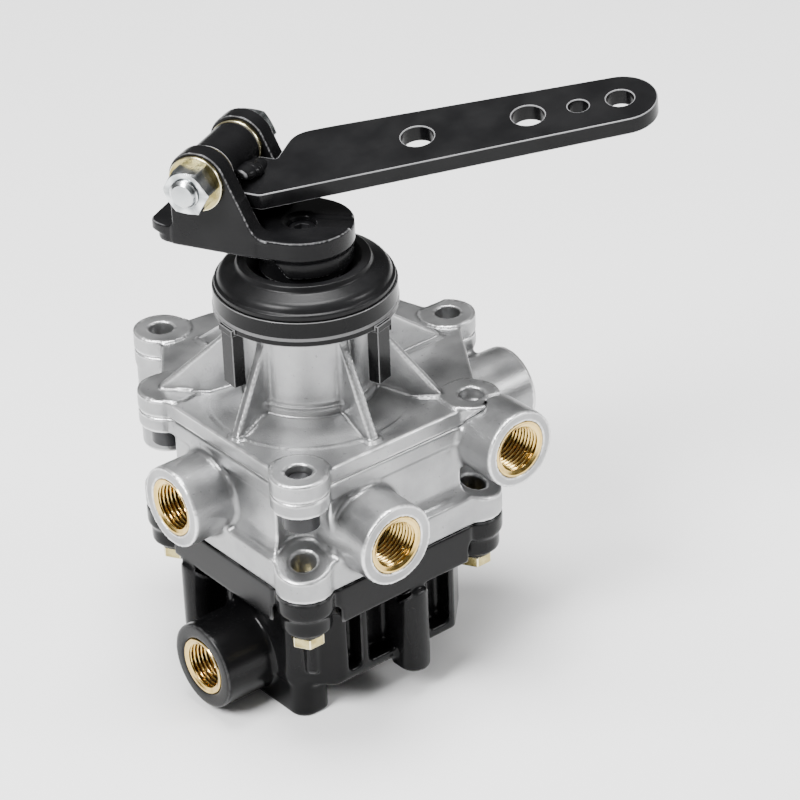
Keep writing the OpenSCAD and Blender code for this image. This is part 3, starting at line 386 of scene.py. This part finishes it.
# The left lug's hole is cast over, and the blind hole of the right lug keeps its wall
blind_x, blind_y = 0.010, -0.079
cast_over = collar(0.001, 5.0, -1.3, -0.3, -0.064, -0.005)
lining = collar(4.5, 6.0, -4.5, -0.05, blind_x, blind_y)
cover = cast_skin("upper_cover", 0.00055, 0.0008, (cast_over, lining))
pressed(cover, 2, 0.0)
draw_neck_in(cover)
cover = thinned(cover, 190000)
stands_for("cover_casting", cover, cast_aluminium, "housing", ["upper_cover"])

# Valve body
# Die-cast aluminium body with four port bosses and the column of the rear mounting lug.
# It is cast in the same way as the cover, and its port faces are machined.
valve_body = cast_skin("valve_body", 0.0006, 0.0008)
# The blind hole beside the boss goes on down into the body's corner
blind_r, blind_top, blind_floor = 0.0051, -0.0052, -0.0054
points = points_of(valve_body)
in_hole = np.hypot(points[:, 0] - blind_x, points[:, 1] - blind_y) < blind_r
points[in_hole & (points[:, 2] > blind_top), 2] = blind_floor
valve_body.vertices.foreach_set("co", points.ravel())
valve_body = thinned(valve_body, 190000)
port_a_face, port_c_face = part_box("insert_a")[0].y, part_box("insert_c")[0].x
port_e_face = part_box("insert_e")[1].x
for axis, level in ((1, port_a_face), (0, port_c_face), (0, port_e_face)):
    pressed(valve_body, axis, level)
stands_for("body_casting", valve_body, cast_aluminium, "housing", ["valve_body"])

# Lower housing
# Black glass-filled plastic moulding with ribbed walls, the supply boss and the sump.
# Its edges are sharper than a casting's, and its walls have a faint grain.
moulded_black = finish_of(
    "moulded_black",
    dark=(0.003, 0.003, 0.0033),
    light=(0.005, 0.005, 0.0053),
    rough=(0.16, 0.25),
    metal=0.0,
    blotch=60.0,
    speck=1500.0,
    depth=0.00002,
    shine=0.13,
    # Painted highlight on the sharpest outer edges
    painted_edge_highlight=(0.1, 0.1, 0.102),
    sharp=(300.0, 700.0),
)
housing = thinned(cast_skin("lower_housing", 0.0006, 0.0004), 180000)
stands_for("housing_moulding", housing, moulded_black, "housing", ["lower_housing"])


# Port inserts
# Turned brass sleeves with an M18 thread, pressed into the bosses flush with their faces.
# The bevelled mouth leads into the thread, whose groove runs to the back of the sleeve.
def thread(depths, turns, pitch, deep):
    """Extra radius of a thread at each depth and angle: a rounded ridge that winds once
    around for each pitch, right-handed for an axis that points out of the hole."""
    phase = (depths[:, None] / pitch + turns[None, :]) % 1.0
    return deep * np.clip(1.25 * np.abs(2 * phase - 1) - 0.12, 0, 1)


brass = finish_of(
    "brass",
    dark=(0.5, 0.33, 0.08),
    light=(0.7, 0.49, 0.16),
    rough=(0.14, 0.24),
    metal=1.0,
    blotch=350.0,
    speck=1500.0,
    depth=0.00001,
    # Painted highlight on the thread crests and outer edges
    painted_edge_highlight=(0.86, 0.64, 0.26),
    # Painted shade in the thread roots and inner corners
    painted_corner_shade=(0.06, 0.035, 0.01),
    sharp=(450.0, 900.0),
)
sleeve_r, minor_r, sleeve_l, mouth = 10.25, 8.2, 14.4, 0.6
metric_pitch, thread_deep = 1.5, 0.88
sides = 96
for node, out in (
    ("insert_a", (0, -1, 0)),
    ("insert_b", (0, -1, 0)),
    ("insert_c", (-1, 0, 0)),
    ("insert_e", (1, 0, 0)),
    ("supply_insert", (-1, 0, 0)),
):
    low, high = (np.array(corner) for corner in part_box(node))
    out = np.array(out, float)
    up = upright[2]
    origin = (low + high) / 2 + out * 0.0005 * sleeve_l
    base = (np.cross(up, out), up, out, origin)
    depths = np.arange(mouth, sleeve_l - 0.6, 0.12)
    groove = thread(depths, np.arange(sides) / sides, metric_pitch, thread_deep)
    fade = np.clip((depths - mouth) / 0.5, 0, 1)[:, None]
    rim = np.array([sleeve_r, sleeve_r, sleeve_r - 0.25, minor_r + 1.3, minor_r + 1.1])
    rim_z = np.array([-sleeve_l, -0.3, 0.0, 0.0, -0.12])
    face, back = np.repeat(rim[:, None], sides, 1), np.full((1, sides), minor_r)
    radii = np.vstack([face, minor_r + groove * fade, back])
    heights = np.concatenate([rim_z, -depths, [-sleeve_l]])[:, None]
    sleeve = skin_of(turned(radii, heights, base))
    stands_for(node + "_sleeve", sleeve, brass, "housing", [node], 35)

# Screws of the casting
# Black socket screws hold the cover from below, and yellow-zinc hexagon screws hold the
# lower housing. Their edges are broken and the hexagons are turned off at the corners.
black_oxide = finish_of(
    "black_oxide",
    dark=(0.012, 0.012, 0.013),
    light=(0.022, 0.022, 0.024),
    rough=(0.3, 0.42),
    metal=0.4,
    blotch=150.0,
    speck=1200.0,
    depth=0.00001,
)
yellow_zinc = finish_of(
    "yellow_zinc",
    dark=(0.3, 0.24, 0.09),
    light=(0.48, 0.41, 0.19),
    rough=(0.18, 0.3),
    metal=1.0,
    blotch=260.0,
    speck=1500.0,
    depth=0.00001,
    # Painted highlight on the outer edges
    painted_edge_highlight=(0.9, 0.84, 0.6),
)
# Edges that bend more than this stay sharp beside a round, in degrees
crisp = 12


def eased(node, width, turn=30):
    """The node's solid with every edge sharper than the turn eased by a small round. The
    rounds are marked as edges."""
    mesh = merged_copy(node)
    bm = bmesh.new()
    bm.from_mesh(mesh)
    bmesh.ops.dissolve_limit(bm, angle_limit=math.radians(0.5), verts=bm.verts, edges=bm.edges)
    bm.to_mesh(mesh)
    bm.free()
    mesh.polygons.foreach_set("material_index", np.zeros(len(mesh.polygons), np.int32))
    mesh.materials.append(None)
    values = {
        "width": width,
        "segments": 2,
        "limit_method": "ANGLE",
        "angle_limit": math.radians(turn),
        "use_clamp_overlap": False,
        "material": 1,
    }
    out = worked(mesh, [("BEVEL", values)])
    rounds = np.empty(len(out.polygons), np.int32)
    out.polygons.foreach_get("material_index", rounds)
    out.polygons.foreach_set("material_index", np.zeros(len(rounds), np.int32))
    out.attributes.new("edge", "FLOAT", "FACE").data.foreach_set("value", (rounds * 1000).astype(np.float32))
    return out


for name, node, width, finish, slot in (
    ("cover_cap_screws", "cover_screws", 0.0003, black_oxide, "black_steel"),
    ("housing_hex_screws", "housing_screws", 0.00035, yellow_zinc, "yellow_zinc"),
):
    stands_for(name, eased(node, width), finish, "housing", [node], crisp)


# Boot and ring
# Moulded rubber boot over the neck, whose lip funnels around the fork, and the plastic
# ring that clamps it. The ring's legs snap down the neck.
def corners_rounded(points, steps=6):
    """A closed outline of (radius, height, corner radius) rows with its corners as arcs:
    each arc's centre lies on the corner's bisector and touches both sides."""
    points = np.array(points, float)
    p, r = points[:, :2], points[:, 2]
    a, c = np.roll(p, 1, 0) - p, np.roll(p, -1, 0) - p
    a /= np.linalg.norm(a, axis=1)[:, None]
    c /= np.linalg.norm(c, axis=1)[:, None]
    half = np.arccos(np.clip((a * c).sum(1), -1, 1)) / 2
    mid = a + c
    mid /= np.maximum(np.linalg.norm(mid, axis=1), 1e-9)[:, None]
    centre = p + mid * (r / np.sin(half))[:, None]
    start = p + a * (r / np.tan(half))[:, None] - centre
    finish = p + c * (r / np.tan(half))[:, None] - centre
    t = np.linspace(0, 1, steps)[None, :]
    first = np.arctan2(start[:, 1], start[:, 0])
    sweep = (np.arctan2(finish[:, 1], finish[:, 0]) - first + 3 * np.pi) % (2 * np.pi) - np.pi
    angle = first[:, None] + sweep[:, None] * t
    arc = np.stack([np.cos(angle), np.sin(angle)], -1) * r[:, None, None] + centre[:, None, :]
    return arc.reshape(-1, 2)


boot_rubber = finish_of(
    "boot_rubber",
    dark=(0.005, 0.005, 0.0053),
    light=(0.008, 0.008, 0.0085),
    rough=(0.27, 0.36),
    metal=0.0,
    blotch=90.0,
    speck=1300.0,
    depth=0.00003,
    shine=0.15,
)
boot_low, boot_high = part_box("boot")
spin_mid = np.array(((boot_low.x + boot_high.x) / 2, (boot_low.y + boot_high.y) / 2, 0.0))
outline = corners_rounded(
    [
        (27.3, 37.3, 0.2),
        (29.0, 37.3, 0.2),
        (29.0, 42.8, 0.3),
        (30.28, 44.4, 0.4),
        (30.28, 46.2, 0.7),
        (29.3, 46.7, 0.5),
        (28.3, 49.1, 3.4),
        (22.9, 50.8, 1.2),
        (22.3, 52.9, 0.5),
        (19.4, 52.7, 0.8),
        (15.4, 49.2, 0.6),
        (15.4, 47.2, 0.1),
        (20.4, 48.4, 1.8),
        (26.6, 46.2, 1.6),
        (27.6, 43.3, 1.0),
        (25.8, 41.1, 0.2),
        (27.3, 41.1, 0.2),
    ]
)
boot = skin_of(turned(np.repeat(outline[:, :1], 144, 1), outline[:, 1:], (*upright, spin_mid)))
stands_for("rubber_boot", boot, boot_rubber, "housing", ["boot"], 50)
ring_plastic = finish_of(
    "ring_plastic",
    dark=(0.003, 0.003, 0.0033),
    light=(0.005, 0.005, 0.0053),
    rough=(0.14, 0.22),
    metal=0.0,
    blotch=70.0,
    speck=1500.0,
    depth=0.00001,
    shine=0.13,
    # Painted highlight on the outer edges
    painted_edge_highlight=(0.16, 0.16, 0.162),
)
ring = eased("boot_ring", 0.0003, 25)
stands_for("clamp_ring", ring, ring_plastic, "housing", ["boot_ring"], crisp)

# Inner pieces
# Bush, seals, slide plates, springs, check valve and filter. They are hidden in use, so
# the solids stay and take the finish of their metal, rubber or plastic.
bronze = finish_of(
    "sintered_bronze",
    dark=(0.42, 0.28, 0.13),
    light=(0.55, 0.38, 0.2),
    rough=(0.4, 0.5),
    metal=0.9,
    blotch=200.0,
    speck=2500.0,
    depth=0.00002,
)
steel = finish_of(
    "ground_steel",
    dark=(0.48, 0.48, 0.5),
    light=(0.6, 0.6, 0.62),
    rough=(0.25, 0.35),
    metal=1.0,
    blotch=200.0,
    speck=1500.0,
    depth=0.00001,
)
cage_white = finish_of(
    "natural_plastic",
    dark=(0.62, 0.58, 0.48),
    light=(0.7, 0.66, 0.56),
    rough=(0.4, 0.5),
    metal=0.0,
    blotch=100.0,
    speck=1500.0,
    depth=0.00001,
)
seals = "cover_seal housing_seal shaft_seal check_poppet exhaust_flap"
bushes = "spindle_bush supply_filter thrust_washer barrel_bush"
plates = "port_plate spindle detent_plate rotary_disc disc_spring detent_plungers"
springs = "detent_springs check_spring"
for finish, nodes in (
    (boot_rubber, seals),
    (bronze, bushes),
    (steel, plates + " " + springs),
    (cage_white, "check_cage"),
):
    for name in nodes.split():
        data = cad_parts[name].data
        data.materials.clear()
        data.materials.append(finish)

# Fork
# Forged steel fork with a gloss black coat, whose ears carry the hinge. The forging has
# fuller radii at the roots of the ears, and one countersunk screw holds its hub.
black_coat = finish_of(
    "black_coat",
    dark=(0.004, 0.004, 0.0044),
    light=(0.007, 0.007, 0.0074),
    rough=(0.18, 0.26),
    metal=0.0,
    blotch=80.0,
    speck=420.0,
    depth=0.00002,
    shine=0.13,
    # Painted highlight on the sharpest outer edges
    painted_edge_highlight=(0.24, 0.24, 0.245),
    sharp=(480.0, 900.0),
)
fork_turn = math.radians(-63)
along_u = np.array((math.cos(fork_turn), math.sin(fork_turn), 0.0))
along_v = np.cross(along_u, upright[2])
base_z, base_top = 59.0, 66.0
ear_in, ear_out, tail_u = 11.5, 18.45, -39.0


def slab(outline, middle, base, low, high):
    """A flat piece whose outline lies in the base's X and Y, between two levels of its Z.
    Both faces fan out from a middle point that sees the whole outline."""
    outline = np.array(outline, float)
    centre = np.broadcast_to(middle, outline.shape)
    flat = np.stack([centre, outline, outline, centre])
    z = np.array([low, low, high, high], float)[:, None, None]
    points = flat[..., :1] * base[0] + flat[..., 1:] * base[1] + z * base[2]
    return skin_of(0.001 * points + base[3], along=False)


def draw_tail_out(mesh):
    """Draws the tail out beyond 40 mm from the spindle, its upper half to 1.7 times its
    length there and its lower half, under the step, to 1.2 times."""
    points = points_of(mesh)
    aft = -((points[:, 0] - spindle_x) * along_u[0] + (points[:, 1] - spindle_y) * along_u[1])
    stretch = np.interp(points[:, 2], [0.0615, 0.0621], [0.2, 0.7])
    move = np.maximum(aft - 0.040, 0) * stretch * (points[:, 2] < 0.0672)
    points[:, :2] -= move[:, None] * along_u[:2]
    mesh.vertices.foreach_set("co", points.ravel())


# The base's sides run on flush from the ears and draw in to the hub
side = [(tail_u, ear_out), (-14.0, ear_out), (-9.0, 18.3), (-4.0, 17.85), (0.0, 17.35)]
side_in = 9.0
slabs = [
    slab(
        [*[(u, v * s) for u, v in side], (0.0, side_in * s), (tail_u, side_in * s)],
        (-18.0, 13.0 * s),
        (along_u, along_v, upright[2], spin_mid),
        base_z,
        base_top,
    )
    for s in (-1, 1)
]
# Each ear's front edge meets the base in an arc that is tangent to both: its centre lies on
# the bisector of the corner, at the radius over the sine of half the angle
corner, root_r = np.array((-8.2, base_top)), 6.0
slope = math.radians(115.1)
reach = root_r / math.tan(slope / 2)
bisector = np.array((math.cos(slope / 2), math.sin(slope / 2)))
arc_mid = corner + root_r / math.sin(slope / 2) * bisector
turn = np.radians(np.linspace(205.1, 270.0, 12))
arc = arc_mid + root_r * np.stack([np.cos(turn), np.sin(turn)], -1)
root_floor = base_top - 0.8
root = [*arc, (corner[0] + reach, root_floor), (corner[0] - 3, root_floor), (arc[0][0] - 3, arc[0][1])]
root_mid = corner - (0.8, 0.4)
roots = [
    slab(root, root_mid, (along_u, upright[2], along_v, spin_mid), low, high)
    for low, high in ((-ear_out, -ear_in), (ear_in, ear_out))
]
fork = cast_skin("fork", 0.0004, 0.0006, (*slabs, *roots))
draw_tail_out(fork)
fork = thinned(fork, 150000)
stands_for("forged_fork", fork, black_coat, "spindle", ["fork"])
cap_screw = eased("hub_screw", 0.00025)
stands_for("hub_cap_screw", cap_screw, black_oxide, "spindle", ["hub_screw"], crisp)

# Hinge bolt and nut
# Bright zinc M10 bolt through both ears, with its nut and washers. The hexagons are
# turned to a cone at their corners, and the thread shows past the nut.
zinc = finish_of(
    "bright_zinc",
    dark=(0.2, 0.215, 0.22),
    light=(0.32, 0.345, 0.35),
    rough=(0.16, 0.26),
    metal=1.0,
    blotch=220.0,
    speck=1500.0,
    depth=0.00001,
    # Painted highlight on the outer edges and thread crests
    painted_edge_highlight=(0.85, 0.87, 0.88),
    # Painted shade in the inner corners and thread roots
    painted_corner_shade=(0.08, 0.08, 0.08),
)
# The bolt crosses behind the spindle, 28 mm from it and 83.5 mm above the pads
hinge_mid = np.array((-0.042712, -0.017052, 0.0835))
hinge_base = (along_u, upright[2], along_v, hinge_mid)
flats, shank_r = 14.4, 5.0
nut_from, nut_to = 20.0, 27.2
head_from, head_to = -24.9, -18.5
thread_from, bolt_end = 17.0, 29.4


def hexagon(low, high, hole, edge_low, edge_high):
    """Radii and heights of a hexagon between two levels: its side is the flat's distance
    over the cosine from the flat, cut by a 30 degree cone at each bevelled end."""
    angle = 2 * np.pi * np.arange(144) / 144
    side = flats / 2 / np.cos(angle % (np.pi / 3) - np.pi / 6)
    round_r = flats / 2 * 0.97
    drop = np.maximum(side - round_r, 0) * math.tan(math.radians(30))
    flat = np.full_like(side, 1.0)
    radii = [hole * flat, np.minimum(side, round_r) if edge_low else side, side, side]
    radii += [np.minimum(side, round_r) if edge_high else side, hole * flat]
    bevels = [low + drop * edge_low, high - drop * edge_high]
    heights = [low * flat, low * flat, *bevels, high * flat, high * flat]
    return np.array(radii), np.array(heights)


nut = skin_of(turned(*hexagon(nut_from, nut_to, shank_r + 0.05, False, True), hinge_base))
stands_for("hinge_hex_nut", nut, zinc, "spindle", ["hinge_nut"], 25)

head_radii, head_heights = hexagon(head_from, head_to, 0.0, True, False)
head_radii[-1] = shank_r
shank_z = np.concatenate([[head_to, thread_from], np.arange(thread_from + 0.1, bolt_end - 1.0, 0.15)])
run_in = np.clip((shank_z[:, None] - thread_from) / 1.5, 0, 1)
cut = thread(-shank_z, np.arange(144) / 144, metric_pitch, 0.7) * run_in
tip = np.array([[4.1, bolt_end - 0.3], [3.7, bolt_end], [0.0, bolt_end]])
bolt_radii = np.vstack([head_radii, shank_r - cut, tip[:, :1].repeat(144, 1)])
bolt_heights = np.vstack([head_heights, shank_z[:, None].repeat(144, 1), tip[:, 1:].repeat(144, 1)])
bolt = skin_of(turned(bolt_radii, bolt_heights, hinge_base), along=False)
stands_for("hinge_hex_bolt", bolt, zinc, "spindle", ["hinge_bolt"], 25)
for name, node in (("nut_plain_washer", "nut_washer"), ("ear_plain_washers", "ear_washers")):
    stands_for(name, eased(node, 0.0003), yellow_zinc, "spindle", [node], crisp)

# Barrel, lever and welds
# Steel tube and flat drilled lever, welded together and coated black. The plate's edges
# are eased by the blasting before the coat, and the welds lie as overlapping laps.
for name, node, width in (("hinge_barrel", "barrel", 0.0004), ("drilled_lever", "lever_plate", 0.00035)):
    stands_for(name, eased(node, width), black_coat, "lever", [node], crisp)


def weld(run, across, rise, size, lap):
    """A bead along the barrel: an oval section carried along the bolt's direction, swelling
    a little at each lap and wandering slowly, with its ends drawn in."""
    t = np.linspace(-1, 1, 180)[:, None]
    phase = (t * run / lap + 0.15 * np.sin(4 * t)) % 1.0
    ends = np.sqrt(np.clip(1 - np.abs(t) ** 7, 0, 1))
    swell = (1 + 0.07 * np.sin(np.pi * phase) + 0.1 * np.sin(3.1 * t + 2)) * ends
    angle = np.linspace(0, 2 * np.pi, 32, endpoint=False)[None, :]
    u = across + size[0] * swell * np.cos(angle) + 0.4 * np.sin(5.3 * t + 1)
    z = rise[0] + rise[1] * t * run + size[1] * swell * np.sin(angle) + 0.25 * np.sin(7.1 * t)
    v = t * run + 0.6 * np.cos(angle) * swell
    points = u[..., None] * hinge_base[0] + z[..., None] * hinge_base[1] + v[..., None] * hinge_base[2]
    return skin_of(0.001 * points + hinge_mid, along=False)


upper_weld = weld(8.9, 10.6, (-1.9, 0.2), (3.6, 2.5), 3.4)
lower_weld = weld(8.3, 8.6, (-9.2, 0.2), (1.9, 1.9), 3.1)
bead = bmesh.new()
for part in (upper_weld, lower_weld):
    bead.from_mesh(part)
beads = bpy.data.meshes.new("beads")
bead.to_mesh(beads)
bead.free()
stands_for("weld_laps", beads, black_coat, "lever", ["weld_beads"], 60)

# Floor and lights
# Pale sheet that the part stands on, and large soft lights from the left, right and above.
ground, half = cad_low[2], 3
pale_floor = finish_of(
    "pale_floor",
    dark=(0.88, 0.88, 0.88),
    light=(0.9, 0.9, 0.9),
    rough=(0.85, 0.9),
    metal=0.0,
    blotch=5.0,
    speck=50.0,
    depth=0.00001,
)
floor_corners = [(-half, -half, ground), (half, -half, ground), (half, half, ground), (-half, half, ground)]
floor_mesh = bpy.data.meshes.new("floor")
floor_mesh.from_pydata(floor_corners, [], [(0, 1, 2, 3)])
floor_mesh.materials.append(pale_floor)
floor = bpy.data.objects.new("floor", floor_mesh)
bpy.context.scene.collection.objects.link(floor)
floor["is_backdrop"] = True

# Studio surround: bright overhead, dark behind the part and towards the horizon
world = bpy.data.worlds.new("studio")
bpy.context.scene.world = world
world.use_nodes = True
tree = world.node_tree
spot = tree.nodes.new("ShaderNodeTexCoord").outputs["Generated"]
height = node_of(tree, "ShaderNodeSeparateXYZ", Vector=spot).outputs["Z"]
sky = between(tree, ramp(tree, height, 0.45, 0.95, 0.0, 1.0), (0.22, 0.22, 0.22), (1.3, 1.3, 1.3))
put(tree, tree.nodes["Background"].inputs["Color"], sky)
tree.nodes["Background"].inputs["Strength"].default_value = 0.6

for name, place, size, watts in (
    ("key", (-1.2, -0.2, 1.2), 0.6, 56),
    ("side", (0.9, -1.1, 0.8), 0.4, 12),
    ("top", (0.1, 0.1, 1.5), 0.7, 46),
):
    light = bpy.data.lights.new(name, "AREA")
    light.size, light.energy = size, watts
    lamp = bpy.data.objects.new(name, light)
    lamp.location = place
    lamp.rotation_euler = (-Vector(place)).to_track_quat("-Z", "Y").to_euler()
    bpy.context.scene.collection.objects.link(lamp)

low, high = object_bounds()
